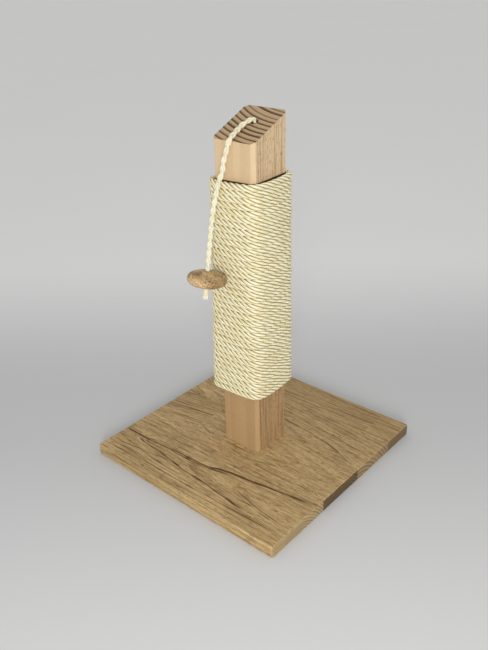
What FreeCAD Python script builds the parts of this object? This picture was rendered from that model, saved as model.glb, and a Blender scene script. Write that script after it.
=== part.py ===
import FreeCAD, Part
import math
import os

# Cat scratching post.  Millimetres, +Z up, origin at the centre of the base's underside.
# +X runs along the grain of the base.  The slanted top falls towards -Y, the toy's side.

V = FreeCAD.Vector
UP = V(0, 0, 1)

# Running and seating clearances
seat_clearance = 0.3        # soft or curved pieces beside their neighbours
swing_clearance = 0.5       # the swinging cord beside the post and the rope
screw_clearance = 0.1       # all round a screw or tack in its hole

# Base: five rows of staves glued edge to edge, the middle three rows equally wide
base_side = 350.0
base_thickness = 18.0
base_corner_radius = 4.0
base_top_round = 3.0
base_bottom_round = 1.5
front_stave_width = 27.0
back_stave_width = 62.0
middle_stave_rows = 3
short_stave_3_length = 88.0     # at the -X end of the third row
short_stave_5_length = 45.0     # at the +X end of the back row

# Post
post_side = 70.0
post_length = 500.0             # at its high side
post_chamfer = 5.0
top_slant = math.radians(24.0)

# Screws from under the base into the post's foot
screw_length = 60.0
screw_diameter = 5.0
screw_head_diameter = 10.0
screw_spacing = 36.0
screw_head_sink = 1.0
screw_point_length = 8.0
screw_slot_width = 1.2
screw_slot_length = 5.0
screw_slot_depth = 1.5

# Rope: one tube of 24 turns that stands for the finer turns of the real winding
rope_diameter = 12.5
rope_turn_gap = 0.8
rope_turns = 24
rope_foot_height = 99.5         # from the base's top to the centre of the lowest turn
rope_face_bow = 1.2             # how far the turns stand off the middle of each face
rope_bend_slack = 1.5           # by which the centre line's bends exceed the rope's diameter

# Tacks through the rope's two ends
tack_diameter = 1.8
tack_head_diameter = 7.0
tack_head_thickness = 1.0
tack_depth_in_post = 14.0
tack_point_length = 3.0

# Toy: cord, bead and knot
cord_diameter = 7.0
cord_lift = 0.7                 # of its underside over the slanted top
cord_hole_x = 3.5
cord_hole_y = 6.0
cord_hole_depth = 13.0
cord_hole_chamfer = 1.4
cord_bend_share = 0.35          # of the shorter run beside a bend
edge_pivot_x = -1.8
rim_contact_angle = math.radians(20.0)
drop_x = -14.5
bead_diameter = 54.0
bead_height = 24.0
bead_crown_rise = 4.0           # of the crown over the round rim
bead_drop = 124.5               # from the rim's pivot down to the bead's centre
knot_oversize = 3.4             # over the cord's diameter
tail_fray = 0.4                 # by which the cut tail is thicker than the cord
tail_length = 9.6               # below the knot

# Sizes that follow
base_half = base_side / 2
post_half = post_side / 2
post_foot = base_thickness
post_high = post_foot + post_length
post_low = post_high - post_side * math.tan(top_slant)
middle_stave_width = (base_side - front_stave_width - back_stave_width) / middle_stave_rows
rope_radius = rope_diameter / 2
rope_bend_radius = rope_diameter + rope_bend_slack
rope_pitch = rope_diameter + rope_turn_gap
rope_start_z = base_thickness + rope_foot_height
rope_face_distance = post_half + seat_clearance + rope_face_bow + rope_radius
cord_radius = cord_diameter / 2
cord_height = cord_radius + cord_lift
cord_bore = cord_radius + seat_clearance
knot_radius = (cord_diameter + knot_oversize) / 2
bead_rim_radius = bead_height / 2 - bead_crown_rise


def box(x0, y0, z0, x1, y1, z1):
    return Part.makeBox(x1 - x0, y1 - y0, z1 - z0, V(x0, y0, z0))


def edges_where(shape, test):
    return [edge for edge in shape.Edges if test(edge.BoundBox)]


def turned(profile):
    """Revolve a closed profile of (radius, height) points about +Z at the origin."""
    points = [V(radius, 0, height) for radius, height in profile]
    face = Part.Face(Part.makePolygon(points + points[:1]))
    return face.revolve(V(0, 0, 0), UP, 360)


def placed(shape, base, axis):
    """Copy a shape made about +Z to a point and an axis."""
    moved = shape.copy()
    moved.Placement = FreeCAD.Placement(base, FreeCAD.Rotation(UP, axis))
    return moved


# ---------------------------------------------------------------- screws and tacks

def screw_points():
    half = screw_spacing / 2
    return [V(x, y, 0) for x in (-half, half) for y in (-half, half)]


def screw_profile(extra):
    """Countersunk screw along +Z with its head's flat at zero, grown by extra all round."""
    head = screw_head_diameter / 2 + extra
    shank = screw_diameter / 2 + extra
    cone = head - shank
    tip = screw_length + extra
    return [(0, 0), (head, 0), (shank, cone), (shank, tip - screw_point_length), (0, tip)]


def screw():
    body = turned(screw_profile(0))
    slot = box(-screw_slot_length / 2, -screw_slot_width / 2, 0,
               screw_slot_length / 2, screw_slot_width / 2, screw_slot_depth)
    return body.cut([slot, slot.rotated(V(0, 0, 0), UP, 90)])


def screw_hole():
    """Countersink and bore, open below for the driver."""
    bore = turned(screw_profile(screw_clearance))
    head = screw_head_diameter / 2 + screw_clearance
    return bore.fuse(Part.makeCylinder(head, screw_head_sink, V(0, 0, -screw_head_sink)))


def at_screws(shape):
    copies = []
    for point in screw_points():
        copy = shape.copy()
        copy.translate(point + V(0, 0, screw_head_sink))
        copies.append(copy)
    return copies


# ---------------------------------------------------------------- base

def base_panel():
    panel = box(-base_half, -base_half, 0, base_half, base_half, base_thickness)
    corners = edges_where(panel, lambda b: b.ZLength > base_thickness / 2)
    panel = panel.makeFillet(base_corner_radius, corners)
    rim = edges_where(panel, lambda b: b.ZMin > base_thickness / 2)
    panel = panel.makeFillet(base_top_round, rim)
    rim = edges_where(panel, lambda b: b.ZMax < base_thickness / 4)
    panel = panel.makeFillet(base_bottom_round, rim)
    return panel.cut(at_screws(screw_hole()))


def stave_rows():
    """The Y limits of the rows of staves, from the front."""
    limits = [-base_half, -base_half + front_stave_width]
    for _ in range(middle_stave_rows):
        limits.append(limits[-1] + middle_stave_width)
    limits.append(base_half)
    return list(zip(limits, limits[1:]))


def base_staves():
    panel = base_panel()
    rows = stave_rows()
    joint_3 = -base_half + short_stave_3_length
    joint_5 = base_half - short_stave_5_length
    spans = {
        "base_stave_1": (rows[0], -base_half, base_half),
        "base_stave_2": (rows[1], -base_half, base_half),
        "base_stave_3_short": (rows[2], -base_half, joint_3),
        "base_stave_3_long": (rows[2], joint_3, base_half),
        "base_stave_4": (rows[3], -base_half, base_half),
        "base_stave_5_long": (rows[4], -base_half, joint_5),
        "base_stave_5_short": (rows[4], joint_5, base_half),
    }
    staves = {}
    for name, ((y0, y1), x0, x1) in spans.items():
        staves[name] = panel.common(box(x0, y0, 0, x1, y1, base_thickness))
    return staves


# ---------------------------------------------------------------- slanted top

down_slope = V(0, -math.cos(top_slant), -math.sin(top_slant))
off_slope = V(0, -math.sin(top_slant), math.cos(top_slant))


def on_slope(x, y, height):
    """A point at a height over the slanted top, above the place x, y of its surface."""
    surface = V(x, y, post_low + (y + post_half) * math.tan(top_slant))
    return surface + off_slope * height


# ---------------------------------------------------------------- rope

def winding_plan():
    """Radii and angles of the rope's plan, a square of bowed faces and round corners.

    The corner's centre is on the diagonal, where the tube just clears the two edges of
    the post's chamfer.  A face arc meets the corner arcs in a common tangent.
    """
    reach = rope_bend_radius - rope_radius - seat_clearance
    half_chamfer = post_chamfer / 2
    corner = post_half - half_chamfer - math.sqrt(reach ** 2 / 2 - half_chamfer ** 2)
    face_angle = 4 * math.atan((rope_face_distance - rope_bend_radius) / corner - 1)
    face_radius = rope_bend_radius + corner / math.sin(face_angle / 2)
    return corner, face_angle, face_radius


def winding_slope():
    _, face_angle, face_radius = winding_plan()
    quarter = face_radius * face_angle + rope_bend_radius * (math.pi / 2 - face_angle)
    return rope_pitch / (4 * quarter)


def winding_point(quarters, offset):
    """Point and tangent on the face arc of a quarter turn, offset in angle from its middle."""
    _, _, face_radius = winding_plan()
    slope = winding_slope()
    middle = math.pi / 2 * (quarters + 1)
    angle = middle + offset
    centre = rope_face_distance - face_radius
    x = centre * math.cos(middle) + face_radius * math.cos(angle)
    y = centre * math.sin(middle) + face_radius * math.sin(angle)
    z = rope_start_z + rope_pitch * quarters / 4 + slope * face_radius * offset
    tangent = V(-math.sin(angle), math.cos(angle), slope)
    return V(x, y, z), tangent.normalize()


def arc_by_corner(start, corner, end):
    """The arc from start to end whose end tangents meet at corner."""
    middle = (start + end) * 0.5
    half_chord = (end - start).Length / 2
    half_turn = math.acos(min(1.0, half_chord / (corner - start).Length))
    sagitta = half_chord * math.tan(half_turn / 2)
    return Part.Arc(start, middle + (corner - middle).normalize() * sagitta, end).toShape()


def biarc(start, start_tangent, end, end_tangent, reach):
    """Two tangent arcs, the first with end tangents of the length reach."""
    chord = end - start
    turn = 1 - start_tangent.dot(end_tangent)
    rest = chord.dot(chord) - 2 * reach * chord.dot(start_tangent)
    rest /= 2 * (chord.dot(end_tangent) + reach * turn)
    corner_1 = start + start_tangent * reach
    corner_2 = end - end_tangent * rest
    joint = (corner_1 * rest + corner_2 * reach) * (1 / (reach + rest))
    return [arc_by_corner(start, corner_1, joint), arc_by_corner(joint, corner_2, end)]


def winding_spine():
    """The rope's centre line, from the middle of the back face round to it again."""
    _, face_angle, face_radius = winding_plan()
    steep = math.sqrt(1 + winding_slope() ** 2)
    half_face = face_angle / 2
    stops = [(0, 0.0)] + [(quarter, -half_face) for quarter in range(1, 4 * rope_turns + 1)]
    first_turns = [half_face] + [face_angle] * (4 * rope_turns - 1)
    point, tangent = winding_point(*stops[0])
    edges = [Part.LineSegment(point - tangent * rope_diameter, point).toShape()]
    for stop, face_turn in zip(stops[1:], first_turns):
        reach = face_radius * math.tan(face_turn / 2) * steep
        next_point, next_tangent = winding_point(*stop)
        edges += biarc(point, tangent, next_point, next_tangent, reach)
        point, tangent = next_point, next_tangent
    last_point, last_tangent = winding_point(4 * rope_turns, 0.0)
    reach = face_radius * math.tan(half_face / 4) * steep
    edges += biarc(point, tangent, last_point, last_tangent, reach)
    end = last_point + last_tangent * rope_diameter
    edges.append(Part.LineSegment(last_point, end).toShape())
    return Part.Wire(edges)


def least_gap(spine):
    """Least gap of the tube to itself, on points at least half a turn apart."""
    per_turn = 72
    points = spine.discretize(rope_turns * per_turn)
    least = min((points[i] - points[j]).Length
                for i in range(len(points))
                for j in range(i + per_turn // 2, min(i + per_turn * 3 // 2, len(points))))
    return least - rope_diameter


def rope_end_points():
    """The middle of each straight end of the rope, where its tack goes through."""
    start, start_tangent = winding_point(0, 0.0)
    end, end_tangent = winding_point(4 * rope_turns, 0.0)
    return [start - start_tangent * rope_radius, end + end_tangent * rope_radius]


def tack_profile(extra):
    """Flat-headed tack along +Z, with the underside of its head at zero."""
    head = tack_head_diameter / 2 + extra
    shank = tack_diameter / 2 + extra
    tip = rope_face_distance + rope_radius - post_half + tack_depth_in_post + extra
    return [(0, -tack_head_thickness - extra), (head, -tack_head_thickness - extra),
            (head, 0), (shank, 0), (shank, tip - tack_point_length), (0, tip)]


def at_rope_ends(shape):
    outside = V(0, rope_radius, 0)
    return [placed(shape, point + outside, V(0, -1, 0)) for point in rope_end_points()]


def sisal_rope():
    spine = winding_spine()
    print("rope: least gap to itself %.2f mm, length %.0f mm" % (least_gap(spine), spine.Length))
    first = spine.Edges[0]
    circle = Part.Circle(first.Vertexes[0].Point, first.tangentAt(first.FirstParameter), rope_radius)
    tube = spine.makePipeShell([Part.Wire(circle.toShape())], True, False)
    print("rope: volume over section times length %.4f"
          % (tube.Volume / (math.pi * rope_radius ** 2 * spine.Length)))
    return tube.cut(at_rope_ends(turned(tack_profile(screw_clearance))))


# ---------------------------------------------------------------- post

def post():
    side = [V(-post_half, y, z) for y, z in
            ((-post_half, post_foot), (post_half, post_foot), (post_half, post_high), (-post_half, post_low))]
    body = Part.Face(Part.makePolygon(side + side[:1])).extrude(V(post_side, 0, 0))
    corners = edges_where(body, lambda b: b.ZLength > post_length / 2)
    body = body.makeChamfer(post_chamfer, corners)
    body = body.cut([cord_hole()] + at_screws(screw_hole()))
    return body.cut(at_rope_ends(turned(tack_profile(screw_clearance))))


def cord_hole():
    """The bore for the cord's glued end, square to the slanted top, with a small chamfer."""
    mouth = cord_bore + cord_hole_chamfer
    profile = [(0, -cord_hole_depth), (cord_bore, -cord_hole_depth), (cord_bore, -cord_hole_chamfer),
               (mouth, 0), (mouth, cord_height), (0, cord_height)]
    return placed(turned(profile), on_slope(cord_hole_x, cord_hole_y, 0), off_slope)


# ---------------------------------------------------------------- toy

# The cord bends at two places: past the post's low edge, and over the rope's top turn.
edge_lift = cord_radius + swing_clearance
edge_pivot = on_slope(edge_pivot_x, -post_half - edge_lift * (1 - math.sin(top_slant)), edge_lift)
top_turn_z = rope_start_z + rope_pitch * (rope_turns - 0.5)
rim_distance = rope_radius + swing_clearance + cord_radius
rim_pivot = V(drop_x, -rope_face_distance - rim_distance * math.cos(rim_contact_angle),
              top_turn_z + rim_distance * math.sin(rim_contact_angle))
bead_centre = V(drop_x, -rope_face_distance - rope_radius - swing_clearance - bead_diameter / 2,
                rim_pivot.z - bead_drop)
drop_direction = (bead_centre - rim_pivot).normalize()
upper_direction = (rim_pivot - edge_pivot).normalize()


def tube(points):
    """A cord's tube along runs joined by tangent arcs, with the radii it got."""
    edges = []
    radii = []
    start = points[0]
    for before, corner, after in zip(points, points[1:], points[2:]):
        run_in = (corner - before).normalize()
        run_out = (after - corner).normalize()
        shorter = min((corner - before).Length, (after - corner).Length)
        half_turn = run_in.getAngle(run_out) / 2
        arc_start = corner - run_in * (cord_bend_share * shorter)
        arc_end = corner + run_out * (cord_bend_share * shorter)
        edges.append(Part.LineSegment(start, arc_start).toShape())
        edges.append(arc_by_corner(arc_start, corner, arc_end))
        radii.append(cord_bend_share * shorter / math.tan(half_turn))
        start = arc_end
    edges.append(Part.LineSegment(start, points[-1]).toShape())
    path = Part.Wire(edges)
    circle = Part.Circle(points[0], points[1] - points[0], cord_radius).toShape()
    solid = path.makePipeShell([Part.Wire(circle)], True, False)
    ratio = solid.Volume / (math.pi * cord_radius ** 2 * path.Length)
    print("cord: length %.1f mm, radii %s, volume ratio %.4f"
          % (path.Length, [round(radius, 1) for radius in radii], ratio))
    return solid


def toy_cord_top():
    """From the bore, over its edge and down the slope, to just before the low edge."""
    end = edge_pivot - down_slope * (cord_radius + seat_clearance)
    return tube([
        on_slope(cord_hole_x, cord_hole_y, seat_clearance - cord_hole_depth),
        on_slope(cord_hole_x, cord_hole_y, cord_height),
        on_slope(-4.0, -8.0, cord_height),
        on_slope(-3.2, -21.5, cord_height),
        end,
    ])


def swinging_cord(pivot, direction, length):
    """A taut stretch of cord that starts in a ball at its pivot."""
    ball = Part.makeSphere(cord_radius, pivot)
    return ball.fuse(Part.makeCylinder(cord_radius, length, pivot, direction)).removeSplitter()


def toy_cord_upper():
    reach = (rim_pivot - edge_pivot).Length - cord_radius - seat_clearance
    return swinging_cord(edge_pivot, upper_direction, reach)


def knot_drop():
    """From the bead's centre down to the knot's centre, which bears on the bore's edge."""
    return bead_height / 2 + math.sqrt(knot_radius ** 2 - cord_bore ** 2) + seat_clearance


def knot_flat():
    """From the knot's centre up to the flat where the cord enters it."""
    return math.sqrt(knot_radius ** 2 - cord_radius ** 2)


def toy_cord_drop():
    length = (bead_centre - rim_pivot).Length + knot_drop() - knot_flat()
    return swinging_cord(rim_pivot, drop_direction, length)


def toy_bead():
    """A flattened ball on the cord: two crowns joined by a round rim."""
    rim_centre = bead_diameter / 2 - bead_rim_radius
    half = bead_height / 2
    crown = (rim_centre ** 2 + half ** 2 - bead_rim_radius ** 2) / (2 * bead_crown_rise)
    crown_centre = half - crown
    top = crown_centre + math.sqrt(crown ** 2 - cord_bore ** 2)
    meet = math.atan2(-crown_centre, rim_centre)
    meet_point = V(crown * math.cos(meet), 0, crown_centre + crown * math.sin(meet))
    middle = (meet + math.acos(cord_bore / crown)) / 2
    crown_point = V(crown * math.cos(middle), 0, crown_centre + crown * math.sin(middle))

    def lower(point):
        return V(point.x, 0, -point.z)

    start = V(cord_bore, 0, top)
    edges = [
        Part.Arc(start, crown_point, meet_point).toShape(),
        Part.Arc(meet_point, V(bead_diameter / 2, 0, 0), lower(meet_point)).toShape(),
        Part.Arc(lower(meet_point), lower(crown_point), lower(start)).toShape(),
        Part.LineSegment(lower(start), start).toShape(),
    ]
    body = Part.Face(Part.Wire(edges)).revolve(V(0, 0, 0), UP, 360)
    return placed(body, bead_centre, drop_direction)


def stopper_knot():
    """The knot under the bead, with the cord's short tail."""
    ball = Part.makeSphere(knot_radius)
    keep = Part.makeCylinder(knot_radius, knot_radius + knot_flat(), V(0, 0, -knot_flat()))
    tail = Part.makeCylinder((cord_diameter + tail_fray) / 2, knot_radius + tail_length)
    body = ball.common(keep).fuse(tail).removeSplitter()
    return placed(body, bead_centre + drop_direction * knot_drop(), drop_direction)


# ---------------------------------------------------------------- all pieces

def write(name, shape):
    if not shape.isValid():
        raise ValueError(name + " is not a valid shape")
    print("%-20s %d solid(s), %.1f cm3" % (name, len(shape.Solids), shape.Volume / 1000))
    shape.exportStep("parts/" + name + ".step")


os.makedirs("parts", exist_ok=True)
pieces = base_staves()
pieces["post"] = post()
pieces["base_screws"] = Part.makeCompound(at_screws(screw()))
pieces["sisal_rope"] = sisal_rope()
pieces["rope_tacks"] = Part.makeCompound(at_rope_ends(turned(tack_profile(0))))
pieces["toy_cord_top"] = toy_cord_top()
pieces["toy_cord_upper"] = toy_cord_upper()
pieces["toy_cord_drop"] = toy_cord_drop()
pieces["toy_bead"] = toy_bead()
pieces["stopper_knot"] = stopper_knot()
for piece_name, piece_shape in pieces.items():
    write(piece_name, piece_shape)
print("edge pivot", edge_pivot, "rim pivot", rim_pivot)
print("bead centre", bead_centre, "drop direction", drop_direction)
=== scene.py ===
# %% [markdown]
# # A cat scratching post
# The real thing is an oak panel, one square timber with a slanted top, about eleven metres of
# four-strand sisal wound round the timber, and a toy: a plaited cotton cord with a turned
# wooden bead.  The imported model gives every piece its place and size.  This lesson dresses it:
# the cords and the winding get their real strands, and the woods get their growth rings.

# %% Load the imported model
import bpy
import math
import numpy as np
from mathutils import Matrix, Vector


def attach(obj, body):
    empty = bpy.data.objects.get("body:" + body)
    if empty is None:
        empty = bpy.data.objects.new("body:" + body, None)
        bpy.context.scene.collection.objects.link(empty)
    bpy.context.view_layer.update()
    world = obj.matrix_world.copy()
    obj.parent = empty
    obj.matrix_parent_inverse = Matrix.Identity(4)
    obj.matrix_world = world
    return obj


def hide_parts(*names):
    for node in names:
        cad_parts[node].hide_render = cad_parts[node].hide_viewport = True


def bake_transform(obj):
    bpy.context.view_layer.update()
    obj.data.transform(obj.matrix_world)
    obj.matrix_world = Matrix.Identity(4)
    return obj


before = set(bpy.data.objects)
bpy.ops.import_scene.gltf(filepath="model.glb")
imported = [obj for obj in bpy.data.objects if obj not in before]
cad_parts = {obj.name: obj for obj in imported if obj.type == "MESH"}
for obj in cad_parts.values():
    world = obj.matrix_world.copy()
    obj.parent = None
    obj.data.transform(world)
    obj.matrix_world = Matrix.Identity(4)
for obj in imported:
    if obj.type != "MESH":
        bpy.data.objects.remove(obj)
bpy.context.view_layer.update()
MM = 0.001
print("pieces in the packed model:", len(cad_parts))

# %% [markdown]
# ## The camera
# The camera stands where the photographer's stood.  The place and the line of sight were worked
# out from the corners of the panel and of the post.  The lens is in millimetres on a 36 mm
# sensor, whose width Blender gives to the long side of an upright picture.

# %% Camera
CAMERA_PLACE = Vector((0.599236, -0.698674, 0.690109))
CAMERA_SIGHT = Vector((-0.587968, 0.665526, -0.459748))
CAMERA_ROLL = math.radians(-1.454)
CAMERA_LENS = 39.18

bpy.ops.object.camera_add(location=CAMERA_PLACE)
camera = bpy.context.object
upright = CAMERA_SIGHT.to_track_quat("-Z", "Y").to_matrix()
camera.rotation_euler = (upright @ Matrix.Rotation(CAMERA_ROLL, 3, "Z")).to_euler()
camera.data.lens = CAMERA_LENS
camera.data.clip_start = 0.01
camera.data.clip_end = 100
bpy.context.scene.camera = camera
print("camera looks along", tuple(round(x, 3) for x in CAMERA_SIGHT))

# %% [markdown]
# ## Helpers for meshes
# An operator works on all that is selected, so each step starts by selecting only its own
# piece.  Rope and cord are swept: a ring of points is carried along a line that is read from a
# NURBS curve.  The sweep also writes a UV map, with metres along the strand and one turn
# across it, so that fibres can follow the strand in the material.

# %% Select one object
def only(piece):
    bpy.ops.object.select_all(action="DESELECT")
    piece.select_set(True)
    bpy.context.view_layer.objects.active = piece
    return piece


# %% Read a line from a NURBS curve
def nurbs_line(points, resolution):
    """The points of a quadratic NURBS curve whose control points are given in metres."""
    curve = bpy.data.curves.new("route", "CURVE")
    curve.dimensions = "3D"
    curve.resolution_u = resolution
    spline = curve.splines.new("NURBS")
    spline.points.add(len(points) - 1)
    for place, point in zip(spline.points, points):
        place.co = (*point, 1.0)
    spline.order_u = 3
    spline.use_endpoint_u = True
    holder = bpy.data.objects.new("route", curve)
    mesh = bpy.data.meshes.new_from_object(holder)
    line = np.array([vertex.co for vertex in mesh.vertices], float)
    bpy.data.meshes.remove(mesh)
    bpy.data.curves.remove(curve)
    return line


# %% Frames along a line
def along_line(line):
    """The distance along a line at each of its points."""
    steps = np.linalg.norm(np.diff(line, axis=0), axis=1)
    return np.concatenate([[0.0], np.cumsum(steps)])


def unit(vectors):
    return vectors / np.linalg.norm(vectors, axis=-1, keepdims=True)


def frames_along(line, reference):
    """Tangents, and two sides square to them, the first as near the reference as it can be."""
    tangents = unit(np.gradient(line, axis=0))
    reference = np.array(reference, float)
    first = unit(reference - (tangents @ reference)[:, None] * tangents)
    return tangents, first, np.cross(tangents, first)


# %% Sweep rings into a mesh
def swept(name, tubes, material):
    """One mesh from closed tubes.  Each is (rings, along): rings[i][k] is a point."""
    points, faces, corner_uvs = [], [], []
    first = 0
    for rings, along in tubes:
        count, sides = rings.shape[:2]
        points.append(rings.reshape(-1, 3))
        i, k = np.meshgrid(np.arange(count - 1), np.arange(sides), indexing="ij")
        i, k = i.ravel(), k.ravel()
        after = (k + 1) % sides
        quads = np.stack([i * sides + k, i * sides + after,
                          (i + 1) * sides + after, (i + 1) * sides + k], axis=1) + first
        faces += quads.tolist()
        near, far = along[i], along[i + 1]
        across = np.stack([k, k + 1], axis=1) / sides
        corner_uvs.append(np.stack([near, across[:, 0], near, across[:, 1],
                                    far, across[:, 1], far, across[:, 0]], axis=1).reshape(-1, 2))
        for ring, way, place in ((0, -1, along[0]), (count - 1, 1, along[-1])):
            faces.append([first + ring * sides + k for k in range(sides)][::way])
            corner_uvs.append(np.tile([place, 0.5], (sides, 1)))
        first += count * sides
    mesh = bpy.data.meshes.new(name)
    mesh.from_pydata(np.concatenate(points).tolist(), [], faces)
    layer = mesh.uv_layers.new(name="UVMap")
    layer.data.foreach_set("uv", np.concatenate(corner_uvs).ravel())
    mesh.materials.append(material)
    piece = bpy.data.objects.new(name, mesh)
    bpy.context.scene.collection.objects.link(piece)
    only(piece)
    bpy.ops.object.shade_smooth_by_angle(angle=math.radians(60))
    print(name, "has", len(faces), "faces")
    return piece


# %% [markdown]
# ## Helpers for materials
# A material is a small net of nodes.  `put` adds one node and wires it, so that a finish reads
# as a list of steps.  Whatever more than one finish uses is a node group, built once.

# %% Add a node
def put(tree, kind, values=(), **settings):
    """Add a shader node; a value may be a number, a colour or another node's output."""
    made = tree.nodes.new(kind)
    for name, value in settings.items():
        setattr(made, name, value)
    for socket, value in dict(values).items():
        if isinstance(value, bpy.types.NodeSocket):
            tree.links.new(value, made.inputs[socket])
        else:
            made.inputs[socket].default_value = value
    return made


def calc(tree, operation, first, second=0.0, third=0.0, clamp=False):
    values = {0: first, 1: second, 2: third}
    return put(tree, "ShaderNodeMath", values, operation=operation, use_clamp=clamp).outputs[0]


def smooth_step(tree, value, low, high, out_low=0.0, out_high=1.0):
    values = {"Value": value, "From Min": low, "From Max": high,
              "To Min": out_low, "To Max": out_high}
    return put(tree, "ShaderNodeMapRange", values, interpolation_type="SMOOTHSTEP").outputs[0]


def noise(tree, vector, scale, stretch=(1, 1, 1), detail=2.0, roughness=0.5):
    """Noise whose stretch is given in metres of pattern per unit of scale along each axis."""
    values = {"Vector": vector, "Scale": tuple(scale / s for s in stretch)}
    placed = put(tree, "ShaderNodeMapping", values).outputs[0]
    values = {"Vector": placed, "Scale": 1.0, "Detail": detail, "Roughness": roughness}
    return put(tree, "ShaderNodeTexNoise", values).outputs["Fac"]


def blend_colour(tree, share, first, second, blend_type="MIX"):
    made = put(tree, "ShaderNodeMix", {"Factor": share}, data_type="RGBA", blend_type=blend_type)
    for socket, value in ((made.inputs[6], first), (made.inputs[7], second)):
        if isinstance(value, bpy.types.NodeSocket):
            tree.links.new(value, socket)
        else:
            socket.default_value = value
    return made.outputs[2]


# %% Colours as they look on a screen
def paint(red, green, blue):
    """A colour written as screen values from 0 to 255, turned to the light values nodes use."""
    def light(value):
        value /= 255
        return value / 12.92 if value <= 0.04045 else ((value + 0.055) / 1.055) ** 2.4
    return (light(red), light(green), light(blue), 1.0)


# %% Start a material
def new_material(name):
    material = bpy.data.materials.new(name)
    material.use_nodes = True
    return material, material.node_tree, material.node_tree.nodes["Principled BSDF"]


# %% [markdown]
# ## The growth rings
# Wood looks different on each face because every face cuts the same rings.  The group works
# in the tree's own space: its X axis is the pith, the middle of the tree.  The distance from
# that axis, with a little wander, counts the rings.  Where a board's face runs nearly along
# the rings they show as long arches, and on the end grain they show as arcs, with no further
# drawing.

# %% Node group: growth rings
FINE_WANDER = 0.35            # of the rings' fine wander, beside the slow one's 1
LATE_WOOD_POWER = 2.6         # the higher, the narrower the dark late wood
LATE_WOOD_FADE = 0.10         # share of the next ring in which it fades again


def growth_rings_group():
    """How dark a place is in its ring, and a chance tone for each ring."""
    tree = bpy.data.node_groups.new("Growth rings", "ShaderNodeTree")
    for name, kind, start in (("Vector", "NodeSocketVector", None),
                              ("Spacing", "NodeSocketFloat", 0.004),
                              ("Wander", "NodeSocketFloat", 0.003)):
        socket = tree.interface.new_socket(name, in_out="INPUT", socket_type=kind)
        if start is not None:
            socket.default_value = start
    for name in ("Ring", "Tone"):
        tree.interface.new_socket(name, in_out="OUTPUT", socket_type="NodeSocketFloat")
    ins = tree.nodes.new("NodeGroupInput")
    outs = tree.nodes.new("NodeGroupOutput")
    across = put(tree, "ShaderNodeVectorMath", {0: ins.outputs["Vector"], 1: (0, 1, 1)},
                 operation="MULTIPLY").outputs[0]
    radius = put(tree, "ShaderNodeVectorMath", {0: across}, operation="LENGTH").outputs["Value"]
    slow = noise(tree, ins.outputs["Vector"], 20.0, (12, 1, 1), detail=1.0)
    fine = noise(tree, ins.outputs["Vector"], 120.0, (9, 1, 1), detail=2.0)
    mean = 0.5 * (1 + FINE_WANDER)
    wander = calc(tree, "MULTIPLY_ADD", fine, FINE_WANDER, calc(tree, "SUBTRACT", slow, mean))
    distance = calc(tree, "MULTIPLY_ADD", wander, ins.outputs["Wander"], radius)
    count = calc(tree, "DIVIDE", distance, ins.outputs["Spacing"])
    share = calc(tree, "FRACT", count)
    late = calc(tree, "POWER", share, LATE_WOOD_POWER)
    fading = smooth_step(tree, share, 0.0, LATE_WOOD_FADE, 1.0, 0.0)
    ring = calc(tree, "MAXIMUM", late, fading)
    tone = put(tree, "ShaderNodeTexWhiteNoise", {"W": calc(tree, "FLOOR", count)},
               noise_dimensions="1D").outputs["Value"]
    for name, value in (("Ring", ring), ("Tone", tone)):
        tree.links.new(value, outs.inputs[name])
    return tree


growth_rings = growth_rings_group()
print("group:", growth_rings.name)

# %% Node group: fibres and pores
THIN_SHARE = 0.66             # of the thin streaks, beside the broad ones


def fibres_group():
    """Fine streaks along X, and the short dark pores of an open-grained wood."""
    tree = bpy.data.node_groups.new("Fibres and pores", "ShaderNodeTree")
    tree.interface.new_socket("Vector", in_out="INPUT", socket_type="NodeSocketVector")
    for name in ("Streak", "Patch", "Pore"):
        tree.interface.new_socket(name, in_out="OUTPUT", socket_type="NodeSocketFloat")
    ins = tree.nodes.new("NodeGroupInput")
    outs = tree.nodes.new("NodeGroupOutput")
    thin = noise(tree, ins.outputs["Vector"], 760.0, (60, 1, 1), detail=3.0, roughness=0.65)
    broad = noise(tree, ins.outputs["Vector"], 260.0, (34, 1, 1), detail=2.0)
    streak = calc(tree, "MULTIPLY_ADD", thin, THIN_SHARE,
                  calc(tree, "MULTIPLY", broad, 1 - THIN_SHARE))
    patch = noise(tree, ins.outputs["Vector"], 32.0, (6, 1, 1), detail=2.0)
    pore = noise(tree, ins.outputs["Vector"], 1000.0, (12, 1, 1), detail=1.0)
    pore = smooth_step(tree, pore, 0.56, 0.66)
    for name, value in (("Streak", streak), ("Patch", patch), ("Pore", pore)):
        tree.links.new(value, outs.inputs[name])
    return tree


fibres = fibres_group()
print("group:", fibres.name)


# %% [markdown]
# ## The wood finish
# One recipe serves the panel, the post and the bead, each with its own tree: where the pith
# lies, how far apart its rings are, and its light, middle and dark tones.  The tones are mixed
# by the ring, the patch and the streak, then the pores are cut in, and the veins are laid over
# them.  Faces that look along the grain show darker end grain, found from the piece's own
# normals.

# %% Wood recipe
TONE_TO_MIDDLE = (-0.35, 0.18)
TONE_TO_DARK = (0.12, 0.62)


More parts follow.
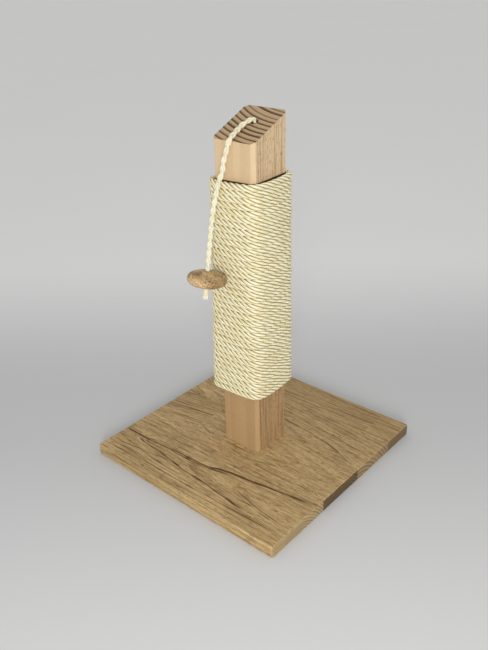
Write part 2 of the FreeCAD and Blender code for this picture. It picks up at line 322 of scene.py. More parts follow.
def wood(name, pith, turn, spacing, wander, light, middle, dark, end_tones,
         ring_share, streak_share, patch_share, pore_share, along="X",
         roughness=0.62, veins=(), grain=1.0, end_reach=0.75, details=None):
    """A wood material.

    pith, turn and grain place, turn and scale the tree, spacing and wander are its rings' in
    metres, and the shares say how much each pattern moves the tone.  along is the piece's axis
    along the grain, end_tones are its end grain's two colours, and a smaller end_reach makes
    the dark rings there broader.  details adds what only one piece has.
    """
    material, tree, shader = new_material(name)
    place = put(tree, "ShaderNodeTexCoord")
    values = {"Vector": place.outputs["Object"], "Location": pith, "Rotation": turn,
              "Scale": (grain, grain, grain)}
    in_tree = put(tree, "ShaderNodeMapping", values, vector_type="TEXTURE").outputs[0]
    rings = put(tree, "ShaderNodeGroup", node_tree=growth_rings)
    for socket, value in (("Spacing", spacing), ("Wander", wander)):
        rings.inputs[socket].default_value = value
    tree.links.new(in_tree, rings.inputs["Vector"])
    fibre = put(tree, "ShaderNodeGroup", node_tree=fibres)
    tree.links.new(in_tree, fibre.inputs["Vector"])

    ring_tone = calc(tree, "MULTIPLY", rings.outputs["Ring"],
                     calc(tree, "MULTIPLY_ADD", rings.outputs["Tone"], 0.8, 0.35))
    patch = calc(tree, "MULTIPLY_ADD", fibre.outputs["Patch"], patch_share, -0.5 * patch_share)
    streak = calc(tree, "MULTIPLY_ADD", fibre.outputs["Streak"], streak_share, -0.5 * streak_share)
    tone = calc(tree, "ADD", patch, streak)
    tone = calc(tree, "MULTIPLY_ADD", ring_tone, ring_share, tone)
    colour = blend_colour(tree, smooth_step(tree, tone, *TONE_TO_MIDDLE), light, middle)
    colour = blend_colour(tree, smooth_step(tree, tone, *TONE_TO_DARK), colour, dark)
    pore = calc(tree, "MULTIPLY", fibre.outputs["Pore"], pore_share)
    colour = blend_colour(tree, pore, colour, dark)
    for vein in veins:
        colour = dark_vein(tree, place.outputs["Object"], colour, *vein)

    facing = put(tree, "ShaderNodeSeparateXYZ", {0: place.outputs["Normal"]}).outputs[along]
    facing = calc(tree, "ABSOLUTE", facing)
    end = smooth_step(tree, facing, 0.45 if along == "X" else 0.75, 0.88)
    end_tone = smooth_step(tree, ring_tone, 0.05, end_reach)
    end_colour = blend_colour(tree, end_tone, *end_tones)
    colour = blend_colour(tree, end, colour, end_colour)
    if details:
        colour = details(tree, place, in_tree, colour)

    height = calc(tree, "MULTIPLY_ADD", fibre.outputs["Pore"], -0.8, streak)
    bump = put(tree, "ShaderNodeBump", {"Height": height, "Strength": 0.25, "Distance": 0.0004})
    tree.links.new(colour, shader.inputs["Base Color"])
    tree.links.new(bump.outputs[0], shader.inputs["Normal"])
    tree.links.new(calc(tree, "MULTIPLY_ADD", streak, 0.12, roughness), shader.inputs["Roughness"])
    shader.inputs["Specular IOR Level"].default_value = 0.35
    return material


# %% A dark vein
VEIN_INK = paint(82, 52, 20)
VEIN_WOBBLE = 0.0030          # across the vein, in metres
VEIN_FADE_IN = 0.012          # at its two ends
VEIN_FADE_OUT = 0.030


def dark_vein(tree, place, colour, width, strength, route):
    """A vein of dark wood along X through a few (x, y) places, thick here and thin there."""
    parts = put(tree, "ShaderNodeSeparateXYZ", {0: place})
    x, y = parts.outputs[0], parts.outputs[1]
    route = [(MM * a, MM * b) for a, b in route]
    first, last = route[0][0], route[-1][0]
    low, high = min(b for _, b in route) - MM, max(b for _, b in route) + MM
    share = put(tree, "ShaderNodeMapRange", {"Value": x, "From Min": first, "From Max": last})
    curve = put(tree, "ShaderNodeFloatCurve", {"Value": share.outputs[0]})
    line = curve.mapping.curves[0]
    while len(line.points) < len(route):
        line.points.new(0.5, 0.5)
    for dot, (a, b) in zip(line.points, route):
        dot.location = ((a - first) / (last - first), (b - low) / (high - low))
    curve.mapping.update()
    centre = calc(tree, "MULTIPLY_ADD", curve.outputs[0], high - low, low)
    wobble = noise(tree, place, 80.0, (3.0, 1, 1), detail=1.0)
    centre = calc(tree, "SUBTRACT", centre, VEIN_WOBBLE / 2)
    off = calc(tree, "SUBTRACT", y, calc(tree, "MULTIPLY_ADD", wobble, VEIN_WOBBLE, centre))
    blotch = noise(tree, place, 38.0, (1.3, 3, 3), detail=2.0)
    reach = smooth_step(tree, blotch, 0.38, 0.66, 0.75 * width, 1.6 * width)
    body = smooth_step(tree, calc(tree, "DIVIDE", calc(tree, "ABSOLUTE", off), reach),
                       0.3, 1.25, 1.0, 0.0)
    body = calc(tree, "MULTIPLY", body, smooth_step(tree, x, first - MM, first + VEIN_FADE_IN))
    body = calc(tree, "MULTIPLY", body,
                smooth_step(tree, x, last - VEIN_FADE_OUT, last, 1.0, 0.0))
    body = calc(tree, "MULTIPLY", body, smooth_step(tree, blotch, 0.34, 0.58, 0.80, 1.0))
    return blend_colour(tree, calc(tree, "MULTIPLY", body, strength), colour, VEIN_INK)


# %% [markdown]
# ## The oak panel
# Seven staves are glued edge to edge.  Each came from another board, so each gets its own pith:
# how deep below the surface it lies, how it leans along the stave and how far to the side it
# is.  A pith that rises towards one end gives arches that open towards that end.  The boldest
# veins are laid through a few listed places, because they catch the eye first.

# %% Stave finishes
OAK_LIGHT = paint(214, 182, 131)
OAK_MIDDLE = paint(181, 152, 104)
OAK_DARK = paint(122, 92, 51)
staves = {
    # node: pith in metres, lean about Y and Z in degrees, ring spacing and wander in metres,
    # tone from -1 pale to 1 dark, the two tones of its end, and its veins of dark wood, each as
    # (half width in metres, strength, places in millimetres)
    "base_stave_1": ((0, -0.165, -0.055), (0.4, 0.2), 0.0026, 0.0008, -0.14,
                     ((180, 154, 110), (138, 112, 72)),
                     [(0.0009, 0.75, [(-175, -164), (-128, -160), (-68, -158), (10, -156),
                                      (81, -154), (147, -152), (175, -150)]),
                      (0.0007, 0.65, [(-175, -155), (-119, -153), (-50, -152), (20, -151)]),
                      (0.0006, 0.55, [(-150, -169), (-90, -166), (0, -165), (70, -162),
                                      (120, -161)])]),
    "base_stave_2": ((0, -0.118, -0.0396), (-2.7, 0.0), 0.0042, 0.0014, 0.00,
                     ((176, 152, 110), (126, 104, 70)),
                     [(0.0018, 0.97, [(-175, -117), (-135, -117), (-98, -115), (-60, -111),
                                      (-30, -110), (-3, -107), (17, -100), (38, -96), (60, -93),
                                      (104, -86), (147, -79), (175, -76)]),
                      (0.0015, 0.95, [(-140, -122), (-113, -127), (-74, -129), (-50, -132),
                                      (-22, -136), (9, -137), (41, -140), (68, -143), (93, -145),
                                      (110, -147)]),
                      (0.0013, 0.90, [(-80, -115), (-55, -114), (-30, -113), (-3, -110),
                                      (17, -105), (45, -100)]),
                      (0.0009, 0.75, [(-167, -152), (-129, -144), (-99, -140), (-68, -135),
                                      (-40, -134)]),
                      (0.0008, 0.60, [(60, -118), (100, -127), (131, -132), (175, -135)])]),
    "base_stave_3_short": ((-0.13, -0.066, -0.030), (1.0, 11.0), 0.0052, 0.0014, 0.22,
                           ((150, 124, 84), (110, 86, 54)),
                           [(0.0008, 0.60, [(-175, -28), (-140, -18), (-117, -10),
                                            (-87, -6)])]),
    "base_stave_3_long": ((0.03, -0.018, -0.030), (4.2, 0.0), 0.0048, 0.0016, 0.00,
                          ((104, 82, 50), (72, 52, 30)),
                          [(0.0009, 0.65, [(-87, -20), (-78, -36), (-50, -43), (-15, -42),
                                           (30, -46)]),
                           (0.0008, 0.60, [(-87, -6), (-70, -10), (-45, -8)]),
                           (0.0007, 0.55, [(-5, -52), (30, -54), (62, -47), (84, -36),
                                           (100, -18)]),
                           (0.0007, 0.55, [(60, -62), (105, -66), (140, -60), (160, -42),
                                           (175, -20)])]),
    "base_stave_4": ((0.0, 0.030, -0.0300), (4.6, -1.0), 0.0060, 0.0014, 0.14,
                     ((160, 134, 94), (112, 88, 56)),
                     [(0.0012, 0.85, [(5, 65), (19, 61), (55, 59), (96, 53), (128, 43), (165, 30)]),
                      (0.0008, 0.60, [(-175, 16), (-122, 15), (-95, 19), (-50, 22), (0, 22)]),
                      (0.0008, 0.55, [(60, 76), (100, 74), (136, 68), (175, 66)])]),
    "base_stave_5_long": ((0.0, 0.150, -0.070), (0.5, 0.8), 0.0045, 0.0012, 0.52,
                          ((150, 124, 84), (110, 86, 54)),
                          [(0.0010, 0.60, [(-60, 122), (0, 124), (60, 128), (125, 130)])]),
    "base_stave_5_short": ((0.15, 0.144, -0.090), (0.5, -1.0), 0.0032, 0.0008, 0.26,
                           ((128, 104, 70), (92, 70, 44)), []),
}


def toned(colour, other, share):
    return tuple(a + (b - a) * share for a, b in zip(colour, other))


for stave, (pith, lean, spacing, wander, tone, ends, veins) in staves.items():
    finish = wood("oak_" + stave[5:], pith, (0, math.radians(lean[0]), math.radians(lean[1])),
                  spacing, wander, toned(OAK_LIGHT, OAK_DARK, 0.5 * tone),
                  toned(OAK_MIDDLE, OAK_DARK, 0.5 * tone), OAK_DARK,
                  (paint(*ends[0]), paint(*ends[1])), ring_share=0.34, streak_share=2.5,
                  patch_share=0.7, pore_share=0.75, veins=veins)
    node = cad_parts[stave]
    node.data.materials.clear()
    node.data.materials.append(finish)
print("staves finished:", len(staves))

# %% [markdown]
# ## The post
# The timber's pith lies behind it, far enough away that the rings cross the slanted top as
# gently curved stripes, run down the right face as lines and lie flat in the front face.  Only
# this piece has flecks on its right face, a darker, redder foot, and painted shade where the
# cord and the rope keep the light out: the bore's mouth and the slot behind the top turn are
# painted a near-black brown.

# %% Post finish
BORE_MOUTH = (0.0035, 0.0060, 0.5045)
BORE_SHADE_REACH = (0.0050, 0.0062)     # full painted shade and none, from the bore's mouth
RIM_Z = 0.4362                # where the painted shade behind the top turn ends, on the front face
RIM_CLIMB = 0.0088            # in a turn
FOOT_TINT = (0.66, 0.57, 0.46, 1.0)


def post_details(tree, place, in_tree, colour):
    """Flecks on the right face, painted shade in the bore and behind the winding, a darker, redder
    foot.
    """
    side = put(tree, "ShaderNodeSeparateXYZ", {0: place.outputs["Normal"]}).outputs["X"]
    parts = put(tree, "ShaderNodeSeparateXYZ", {0: place.outputs["Object"]})
    x, y, height = parts.outputs
    fleck = noise(tree, in_tree, 820.0, (6, 1, 1), detail=2.0)
    streak = noise(tree, in_tree, 300.0, (22, 1, 1), detail=2.0)
    fleck = calc(tree, "ADD", smooth_step(tree, fleck, 0.54, 0.66, 0.0, 0.50),
                 smooth_step(tree, streak, 0.46, 0.64, 0.0, 0.36))
    share = calc(tree, "MULTIPLY", fleck, smooth_step(tree, side, 0.80, 0.95))
    colour = blend_colour(tree, share, colour, paint(128, 96, 60))
    low = smooth_step(tree, height, 0.10, 0.47, 1.0, 0.0)
    colour = blend_colour(tree, low, colour, FOOT_TINT, blend_type="MULTIPLY")
    # Painted shade: the bore's mouth is painted a near-black brown.
    bore = put(tree, "ShaderNodeVectorMath", {0: place.outputs["Object"], 1: BORE_MOUTH},
               operation="DISTANCE")
    bore_shade = smooth_step(tree, bore.outputs["Value"], *BORE_SHADE_REACH, 0.85, 0.0)
    # The top turn climbs on its way round, and ends in the middle of the back face.
    angle = calc(tree, "ARCTAN2", x, calc(tree, "MULTIPLY", y, -1.0))
    way = calc(tree, "DIVIDE", angle, 2 * math.pi)
    rim = calc(tree, "MULTIPLY_ADD", way, RIM_CLIMB, RIM_Z)
    # Painted shade: the post below the top turn's rim is painted near-black, down to the rope's
    # foot.
    behind = smooth_step(tree, calc(tree, "SUBTRACT", height, rim), -0.0010, 0.0006, 0.94, 0.0)
    behind = calc(tree, "MULTIPLY", behind, smooth_step(tree, height, 0.112, 0.117))
    return blend_colour(tree, calc(tree, "MAXIMUM", bore_shade, behind), colour, paint(40, 26, 14))


post_pith = (0.046, 0.167, 0.25)
post_turn = (0, math.radians(-90), 0)
post_finish = wood("beech_post", post_pith, post_turn, 0.0073, 0.0022,
                   paint(232, 205, 166), paint(217, 189, 149), paint(188, 157, 118),
                   (paint(194, 164, 124), paint(90, 64, 38)), ring_share=0.42,
                   streak_share=0.5, patch_share=0.30, pore_share=0.25, along="Z",
                   end_reach=0.45, details=post_details)
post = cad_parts["post"]
post.data.materials.clear()
post.data.materials.append(post_finish)

# %% [markdown]
# ## The bead
# The bead is turned from one small block, so a single tree serves it too, shrunk until its
# streaks are as short as the bead is small.  Broad patches and fine dark specks give it the
# mottled look of a lively wood that was rubbed smooth on a lathe, and its top is painted a
# little darker, as painted shade.

# %% Bead finish
TOP_PAINTED_SHADE = (0.84, 0.85, 0.78, 1.0)


def bead_details(tree, place, in_tree, colour):
    """Fine specks, thick here and thin there, and painted shade on the top."""
    speck = noise(tree, place.outputs["Object"], 480.0, detail=3.0, roughness=0.7)
    cluster = noise(tree, place.outputs["Object"], 75.0, detail=1.0)
    share = calc(tree, "MULTIPLY", smooth_step(tree, speck, 0.47, 0.58, 0.0, 0.85),
                 smooth_step(tree, cluster, 0.38, 0.60, 0.30, 1.0))
    colour = blend_colour(tree, share, colour, paint(98, 68, 36))
    # Painted shade: faces that look up are painted darker.
    up = put(tree, "ShaderNodeSeparateXYZ", {0: place.outputs["Normal"]}).outputs["Z"]
    top = smooth_step(tree, up, 0.10, 0.85, 0.0, 0.8)
    return blend_colour(tree, top, colour, TOP_PAINTED_SHADE, blend_type="MULTIPLY")


bead_finish = wood("turned_bead", (-0.0145, -0.02, 0.285), (0.3, 0.5, 0.2), 0.0080, 0.0080,
                   paint(242, 206, 158), paint(220, 184, 136), paint(140, 106, 66),
                   (paint(182, 150, 105), paint(150, 118, 78)),
                   ring_share=0.20, streak_share=2.6, patch_share=2.2, pore_share=0.8,
                   roughness=0.5, grain=0.30, details=bead_details)
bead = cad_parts["toy_bead"]
bead.data.materials.clear()
bead.data.materials.append(bead_finish)

# %% [markdown]
# ## Steel
# The screws and tacks are zinc-plated: bright, with a faint mottling that changes the gloss.

# %% Steel finish
steel, tree, shader = new_material("zinc_plated_steel")
place = put(tree, "ShaderNodeTexCoord").outputs["Object"]
mottle = noise(tree, place, 900.0, detail=3.0)
tree.links.new(blend_colour(tree, mottle, paint(168, 170, 176), paint(206, 206, 204)),
               shader.inputs["Base Color"])
tree.links.new(calc(tree, "MULTIPLY_ADD", mottle, 0.25, 0.22), shader.inputs["Roughness"])
shader.inputs["Metallic"].default_value = 1.0
for name in ("base_screws", "rope_tacks"):
    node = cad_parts[name]
    node.data.materials.clear()
    node.data.materials.append(steel)

# %% [markdown]
# ## Fibre finishes
# Sisal is a stiff, pale straw fibre with a slight gloss.  The rope's UV map runs along it and
# once round it, so its fibres are long thin noise that leans across each strand, and the
# groove between two strands is found from the place round the rope and painted darker, as
# painted shade with some dust.  The cotton cord is softer and paler, with finer threads and no
# such grooves, because each of its strands is a tube of its own.

# %% Strand recipe
def strand_finish(name, pale, deep, groove, strands, groove_shade_share, lean, threads, roughness):
    """Fibres on a UV map: lean is in turns round a tube per metre, threads are per turn."""
    material, tree, shader = new_material(name)
    uv = put(tree, "ShaderNodeUVMap", uv_map="UVMap").outputs[0]
    parts = put(tree, "ShaderNodeSeparateXYZ", {0: uv})
    along, across = parts.outputs[0], parts.outputs[1]
    leaning = calc(tree, "MULTIPLY_ADD", along, lean, across)
    thread_place = put(tree, "ShaderNodeCombineXYZ", {0: calc(tree, "MULTIPLY", along, 60.0),
                                                      1: calc(tree, "MULTIPLY", leaning, threads)})
    values = {"Vector": thread_place.outputs[0], "Scale": 1.0, "Detail": 3.0}
    thread = put(tree, "ShaderNodeTexNoise", values).outputs["Fac"]
    patch_place = put(tree, "ShaderNodeCombineXYZ", {0: calc(tree, "MULTIPLY", along, 70.0),
                                                     1: calc(tree, "MULTIPLY", across, strands)})
    values = {"Vector": patch_place.outputs[0], "Scale": 1.0, "Detail": 2.0}
    patch = put(tree, "ShaderNodeTexNoise", values).outputs["Fac"]
    tone = calc(tree, "ADD", calc(tree, "MULTIPLY", thread, 0.75),
                calc(tree, "MULTIPLY", patch, 0.45))
    colour = blend_colour(tree, smooth_step(tree, tone, 0.50, 0.78), pale, deep)
    # The groove between two strands is painted darker: painted shade, with some dust.
    lobe = calc(tree, "PINGPONG", calc(tree, "MULTIPLY", across, strands), 0.5)
    shade = smooth_step(tree, lobe, 0.26, 0.46, 0.0, groove_shade_share)
    colour = blend_colour(tree, shade, colour, groove)
    bump = put(tree, "ShaderNodeBump", {"Height": thread, "Strength": 0.7, "Distance": 0.0005})
    tree.links.new(colour, shader.inputs["Base Color"])
    tree.links.new(bump.outputs[0], shader.inputs["Normal"])
    shader.inputs["Roughness"].default_value = roughness
    shader.inputs["Specular IOR Level"].default_value = 0.4
    return material


STRANDS = 4                   # in the sisal rope
sisal = strand_finish("sisal_fibre", paint(250, 245, 214), paint(230, 213, 155),
                      paint(128, 101, 40), strands=STRANDS, groove_shade_share=0.74,
                      lean=11.0, threads=30.0, roughness=0.55)
cotton = strand_finish("cotton_thread", paint(245, 239, 213), paint(226, 215, 177),
                       paint(190, 176, 136), strands=1, groove_shade_share=0.0,
                       lean=260.0, threads=14.0, roughness=0.85)
print("fibres:", sisal.name, cotton.name)

# %% [markdown]
# ## The toy cord
# Its route repeats the imported model's points: out of the bore, down the slanted top, over the
# low edge, against the rope's top turn and down to the knot under the bead.  A few points are
# added where the photograph shows the cord a little slack.  One NURBS curve is read
# through all of them, so that the plait runs on without a break, and the cord is then parted in
# the middle of the stretch between its two bends, because each half bends at one of them.

# %% Route of the cord
cord_points = [
    (0.0035, 0.011166, 0.493486),
    (0.0037, 0.005300, 0.506700),
    (0.0032, 0.003600, 0.509700),
    (-0.0042, -0.008000, 0.503450),
    (-0.0030, -0.022000, 0.497250),
    (-0.0004, -0.040000, 0.489700),
    (-0.0034, -0.042600, 0.473500),
    (-0.0060, -0.045800, 0.461000),
    (-0.0044, -0.048600, 0.451000),
    (-0.0100, -0.052300, 0.436000),
    (-0.0118, -0.054800, 0.421000),
    (-0.0148, -0.059500, 0.398500),
    (-0.0154, -0.066500, 0.360000),
    (-0.0150, -0.073600, 0.324000),
    (-0.0145, -0.076500, 0.309056),
    (-0.0145, -0.079100, 0.295600),
]
cord_exit = (0.0035, 0.0060, 0.505088)
cord_line = nurbs_line(cord_points, 24)
cord_along = along_line(cord_line)
print("cord: %.1f mm from the bore to the knot" % (cord_along[-1] / MM))

# %% Three strands plaited flat
PLAIT_LENGTH = 0.034          # in which a strand comes back to its side
PLAIT_HALF_WIDTH = 0.0020
PLAIT_HALF_DEPTH = 0.0011
PLAIT_STRAND = 0.0018         # radius
BORE_SQUEEZE = 0.17           # by which the two bores narrow the cord
SQUEEZE_FADE = 0.006          # in which the cord widens again outside them
BEAD_CENTRE = Vector((-0.0145, -0.0765, 0.309056))
BEAD_DOWN = Vector((0, -0.190184, -0.981748))


def circle_rings(centres, side, depth, radii, sides):
    """Round rings about the centres, in the plane of side and depth."""
    angles = np.linspace(0, 2 * math.pi, sides, endpoint=False)
    spokes = (side[:, None, :] * np.cos(angles)[None, :, None]
              + depth[:, None, :] * np.sin(angles)[None, :, None])
    return centres[:, None, :] + spokes * np.asarray(radii).reshape(-1, 1, 1)


def squeeze(line, place, reach):
    """How much a bore about a place squeezes the cord: 1 inside it, 0 away from it."""
    off = np.linalg.norm(line - np.array(place), axis=1)
    return np.clip((reach - off) / SQUEEZE_FADE, 0, 1)


def plait(name, start, end):
    """Three strands along one part of the cord's line."""
    _, side, depth = frames_along(cord_line, (1, 0, 0))
    tight = np.maximum(squeeze(cord_line, BEAD_CENTRE, 0.020),
                       squeeze(cord_line, cord_exit, 0.010))
    size = 1 - BORE_SQUEEZE * tight
    tubes = []
    for strand in range(3):
        phase = 2 * math.pi * (cord_along / PLAIT_LENGTH + strand / 3)
        centres = (cord_line + side * (PLAIT_HALF_WIDTH * size * np.sin(phase))[:, None]
                   + depth * (PLAIT_HALF_DEPTH * size * np.sin(2 * phase))[:, None])
        _, ring_side, ring_depth = frames_along(centres, (1, 0, 0))
        rings = circle_rings(centres, ring_side, ring_depth, PLAIT_STRAND * size, 12)
        tubes.append((rings[start:end + 1], cord_along[start:end + 1]))
    return swept(name, tubes, cotton)


BETWEEN_BENDS = (-0.0052, -0.0466, 0.4590)
part_at = int(np.argmin(np.linalg.norm(cord_line - np.array(BETWEEN_BENDS), axis=1)))
cord_over_edge = plait("cord_over_edge", 0, part_at)
cord_hanging = plait("cord_hanging", part_at, len(cord_line) - 1)

# %% [markdown]
# ## The knot and the frayed tail
# Under the bead the cord is wound twice round itself and pulled tight.  Its end is cut short
# and has frayed into threads that fan out a little as they hang.

# %% Knot and tail
KNOT_BELOW_BEAD = 0.0156      # from the bead's centre
WRAP_STEPS = 14               # of the knot's turns, six to a turn
TAIL_THREADS = 60
knot_side = Vector((1, 0, 0))
knot_depth = BEAD_DOWN.cross(knot_side)
wrap_points = []
for step in range(WRAP_STEPS + 1):
    turn = 2 * math.pi * step / 6
    reach = 0.0022 * (0.35 if step in (0, WRAP_STEPS) else 1)
    drop = KNOT_BELOW_BEAD - 0.0030 + 0.0064 * step / WRAP_STEPS
    wrap_points.append(BEAD_CENTRE + BEAD_DOWN * drop
                       + (knot_side * math.cos(turn) + knot_depth * math.sin(turn)) * reach)
wrap_line = nurbs_line(wrap_points, 8)
_, wrap_side, wrap_depth = frames_along(wrap_line, tuple(BEAD_DOWN))
knot_radii = np.full(len(wrap_line), PLAIT_STRAND)
knot_rings = circle_rings(wrap_line, wrap_side, wrap_depth, knot_radii, 12)
tail_tubes = [(knot_rings, along_line(wrap_line))]
chance = np.random.default_rng(7)
for thread in range(TAIL_THREADS):
    spin = chance.uniform(0, 2 * math.pi)
    out = math.sqrt(chance.uniform(0, 1))
    sideways = knot_side * math.cos(spin) + knot_depth * math.sin(spin)
    top = BEAD_CENTRE + BEAD_DOWN * (KNOT_BELOW_BEAD + 0.0012) + sideways * out * 0.0024
    low = BEAD_CENTRE + BEAD_DOWN * (KNOT_BELOW_BEAD + chance.uniform(0.0098, 0.0126))
    low += sideways * out * chance.uniform(0.0034, 0.0044)
    middle = (top + low) / 2 + sideways * 0.0006
    thread_line = nurbs_line([top, middle, low], 5)
    _, side, depth = frames_along(thread_line, (1, 0, 0))
    radii = np.full(len(thread_line), 0.00048)
    tail_tubes.append((circle_rings(thread_line, side, depth, radii, 6), along_line(thread_line)))
knot_and_tail = swept("knot_and_frayed_tail", tail_tubes, cotton)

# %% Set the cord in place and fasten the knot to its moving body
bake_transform(cord_over_edge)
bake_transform(cord_hanging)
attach(knot_and_tail, "toy_drop")
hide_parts("toy_cord_top", "toy_cord_upper")
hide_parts("toy_cord_drop")
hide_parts("stopper_knot")

# %% [markdown]
# ## The sisal winding
# The rope is about nine millimetres thick and laid from four strands, and it goes round the
# post thirty-six times, held by a tack at each end of the back face.  The turns are squeezed
# into one another, so each is higher than it is deep, and they lie a little wider apart towards
# the foot.  Each turn bows off the flat faces of the post and rests only on the corners.  Twelve
# NURBS points make a turn: two at the middle of each face and one past each corner.

# %% Centre line of the winding
ROPE_TURNS = 36
ROPE_START_Z = 0.1170
ROPE_END_Z = 0.4365
ROPE_HALF_HEIGHT = 0.00475
ROPE_HALF_DEPTH = 0.0040
FACE_DISTANCE = 0.0436
FACE_HALF = 0.0140
CORNER_REACH = 0.0387
FOOT_BULGE = 0.0021           # by which the corners reach further out at the foot
LEFT_BULGE = 0.0038           # and the corner towards -X, -Y by this much more
PITCH_CHANGE = 0.055          # the share by which the pitch at the foot is above the mean
POINTS_PER_QUARTER = 3
POINTS_PER_TURN = 4 * POINTS_PER_QUARTER
UNEVEN_LIFT = 0.00032         # how unevenly the turns lie, up and down
UNEVEN_LIFT_MOST = 0.00034    # so that no gap opens between two turns
UNEVEN_OUT = 0.00030          # and in and out
chance = np.random.default_rng(11)
winding_points = []
turn_lift = np.clip(chance.normal(0, UNEVEN_LIFT, ROPE_TURNS + 2),
                    -UNEVEN_LIFT_MOST, UNEVEN_LIFT_MOST)
turn_out = chance.normal(0, UNEVEN_OUT, 4 * ROPE_TURNS + 4)
total = ROPE_TURNS * POINTS_PER_TURN
for step in range(total + 1):
    quarter, place = divmod(step + 1, POINTS_PER_QUARTER)
    share = step / total
    bulge = FOOT_BULGE + (LEFT_BULGE if quarter % 4 == 1 else 0)
    reach = CORNER_REACH + bulge * (1 - share) ** 1.3 + turn_out[quarter]
    face = FACE_DISTANCE + turn_out[quarter]
    x, y = ((face, -FACE_HALF), (face, FACE_HALF), (reach, reach))[place]
    angle = math.pi / 2 * (quarter + 1)
    climb = share * (1 + PITCH_CHANGE * (1 - share))
    lift = turn_lift[(step + POINTS_PER_TURN // 2) // POINTS_PER_TURN]
    z = ROPE_START_Z + (ROPE_END_Z - ROPE_START_Z) * climb + lift
    winding_points.append((x * math.cos(angle) - y * math.sin(angle),
                           x * math.sin(angle) + y * math.cos(angle), z))
winding_line = nurbs_line(winding_points, 16)
winding_along = along_line(winding_line)
winding_tangent, winding_up, winding_out = frames_along(winding_line, (0, 0, 1))
print("rope: %.2f m in %d turns, %d rings" % (winding_along[-1], ROPE_TURNS, len(winding_line)))

# %% Four strands laid together
LAY_LENGTH = 0.040            # in which a strand goes once round the rope
STRAND_OUT = 0.56             # from the rope's middle to a strand's middle, of the rope's half
STRAND_RADIUS = 0.46          # of the rope's half too
RING_POINTS = 24
TWIST_STRETCH = 0.11          # of rope, over which its twist drifts
TWIST_DRIFT = 1.3             # radians each way
END_SPREAD = 0.28             # by which a cut end is wider than the rope
END_LENGTH = 0.022            # of rope that spreads
ring_angles = 2 * math.pi * np.arange(RING_POINTS) / RING_POINTS
to_strand = (ring_angles + math.pi / STRANDS) % (2 * math.pi / STRANDS) - math.pi / STRANDS
outline = STRAND_OUT * np.cos(to_strand) + np.sqrt(
    STRAND_RADIUS ** 2 - (STRAND_OUT * np.sin(to_strand)) ** 2)
stops = np.arange(0, winding_along[-1] + 0.2, TWIST_STRETCH)
extra_twist = np.interp(winding_along, stops,
                        chance.uniform(-TWIST_DRIFT, TWIST_DRIFT, len(stops)))
turning = 2 * math.pi * winding_along / LAY_LENGTH + extra_twist


def laid_rope(name, start, end):
    """One part of the winding: a tube whose outline shows the strands and turns with the lay."""
    part = slice(start, end + 1)
    along = winding_along[part]
    to_end = np.minimum(along, winding_along[-1] - along)
    spread = 1 + END_SPREAD * np.clip(1 - to_end / END_LENGTH, 0, 1) ** 2
    swell = 1 + 0.02 * np.sin(along * 41.0) + 0.015 * np.sin(along * 97.0)
    angles = ring_angles[None, :] + turning[part, None]
    radii = (spread * swell)[:, None] * outline[None, :]
    rings = (winding_line[part, None, :]
             + winding_up[part, None, :] * (ROPE_HALF_HEIGHT * radii * np.cos(angles))[:, :, None]
             + winding_out[part, None, :] * (ROPE_HALF_DEPTH * radii * np.sin(angles))[:, :, None])
    return swept(name, [(rings, along)], sisal)


cuts = [round(share * (len(winding_line) - 1)) for share in (0, 1 / 3, 2 / 3, 1)]
names = ("rope_turns_lower", "rope_turns_middle", "rope_turns_upper")
winding = [laid_rope(name, a, b) for name, a, b in zip(names, cuts, cuts[1:])]

# %% [markdown]
# ## Loose fibres
# New sisal bristles: short ends stand out of every strand.  Each is a three-sided tube that is
# rooted on the rope's outer side and leans along it.

# %% Loose fibres
LOOSE_FIBRES = 1100
fibre_tubes = []
for hair in range(LOOSE_FIBRES):
    at = int(chance.integers(20, len(winding_line) - 20))
    tangent, up, out = winding_tangent[at], winding_up[at], winding_out[at]
    turn = chance.uniform(-0.6, 0.9)
    root = (winding_line[at] + out * ROPE_HALF_DEPTH * 0.9 * math.cos(turn)
            + up * ROPE_HALF_HEIGHT * 0.9 * math.sin(turn))
    way = unit(tangent * chance.choice((-1, 1)) - up * chance.uniform(-0.3, 0.9)
               + out * chance.uniform(0.05, 0.30))
    length = chance.uniform(0.004, 0.011)
    middle = root + way * length * 0.5 + out * 0.0006
    tip = root + way * length + up * chance.uniform(-0.001, 0.001)
    hair_line = nurbs_line([root, middle, tip], 3)
    _, side, depth = frames_along(hair_line, tuple(out + 0.01 * up))
    radii = np.linspace(0.00016, 0.00009, len(hair_line))
    fibre_tubes.append((circle_rings(hair_line, side, depth, radii, 3), along_line(hair_line)))
winding.append(swept("rope_loose_fibres", fibre_tubes, sisal))
for piece in winding:
    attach(piece, "post_and_base")
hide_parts("sisal_rope")
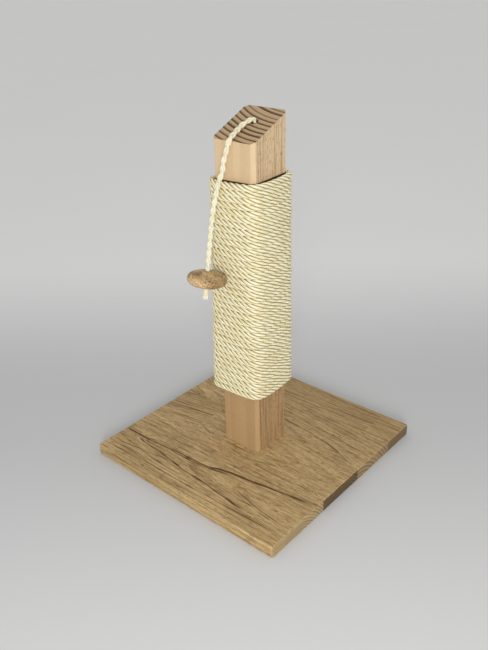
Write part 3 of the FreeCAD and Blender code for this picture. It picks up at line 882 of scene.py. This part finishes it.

# %% [markdown]
# ## Floor and light
# A plain pale floor and soft light.  The key lamp stands behind the camera and low, so the
# upright faces are brighter than the level ones.  Its beam is narrowed, as by a grid, so that
# the floor under it stays in tone.  The world's even grey fills the shadows.  The floor's paint
# holds painted light and shade: it is a little lighter near the camera and far away, where a
# studio's paper would curve up, and darker in between, round the panel.

# %% Floor
bpy.ops.mesh.primitive_plane_add(size=40, location=(0, 0, -0.0002))
floor = bpy.context.object
floor.name = "floor"
AWAY_FROM_CAMERA = (-0.662, 0.749, 0.0)
floor_paint, tree, shader = new_material("pale_floor")
place = put(tree, "ShaderNodeTexCoord").outputs["Object"]
away = put(tree, "ShaderNodeVectorMath", {0: place, 1: AWAY_FROM_CAMERA},
           operation="DOT_PRODUCT").outputs["Value"]
cloud = noise(tree, place, 1.2, detail=1.0)
# Painted light and shade: lighter near the camera and far away, darker round the panel.
floor_colour = blend_colour(tree, smooth_step(tree, away, -0.50, 0.10), paint(228, 228, 227),
                            paint(207, 207, 207))
floor_colour = blend_colour(tree, smooth_step(tree, away, 0.15, 0.80), floor_colour,
                            paint(245, 245, 243))
floor_colour = blend_colour(tree, calc(tree, "MULTIPLY", cloud, 0.08), floor_colour,
                            paint(205, 206, 208))
tree.links.new(floor_colour, shader.inputs["Base Color"])
shader.inputs["Roughness"].default_value = 0.9
shader.inputs["Specular IOR Level"].default_value = 0.1
floor.data.materials.append(floor_paint)

# %% Lamps
LAMP_SPREAD = math.radians(100)


def softbox(name, place, target, size, power):
    """A round soft lamp at a place, aimed at a target."""
    bpy.ops.object.light_add(type="AREA", location=place)
    lamp = bpy.context.object
    lamp.name = name
    lamp.data.shape = "DISK"
    lamp.data.size = size
    lamp.data.energy = power
    lamp.data.spread = LAMP_SPREAD
    aim = Vector(target) - Vector(place)
    lamp.rotation_euler = aim.to_track_quat("-Z", "Y").to_euler()
    return lamp


softbox("key", (1.258, -1.498, 0.700), (0, 0, 0.28), 0.6, 6.5)
world = bpy.data.worlds.new("studio")
bpy.context.scene.world = world
world.use_nodes = True
world.node_tree.nodes["Background"].inputs["Color"].default_value = (0.99, 0.995, 1.0, 1)
world.node_tree.nodes["Background"].inputs["Strength"].default_value = 0.615

# %% View settings
bpy.context.scene.view_settings.view_transform = "Standard"
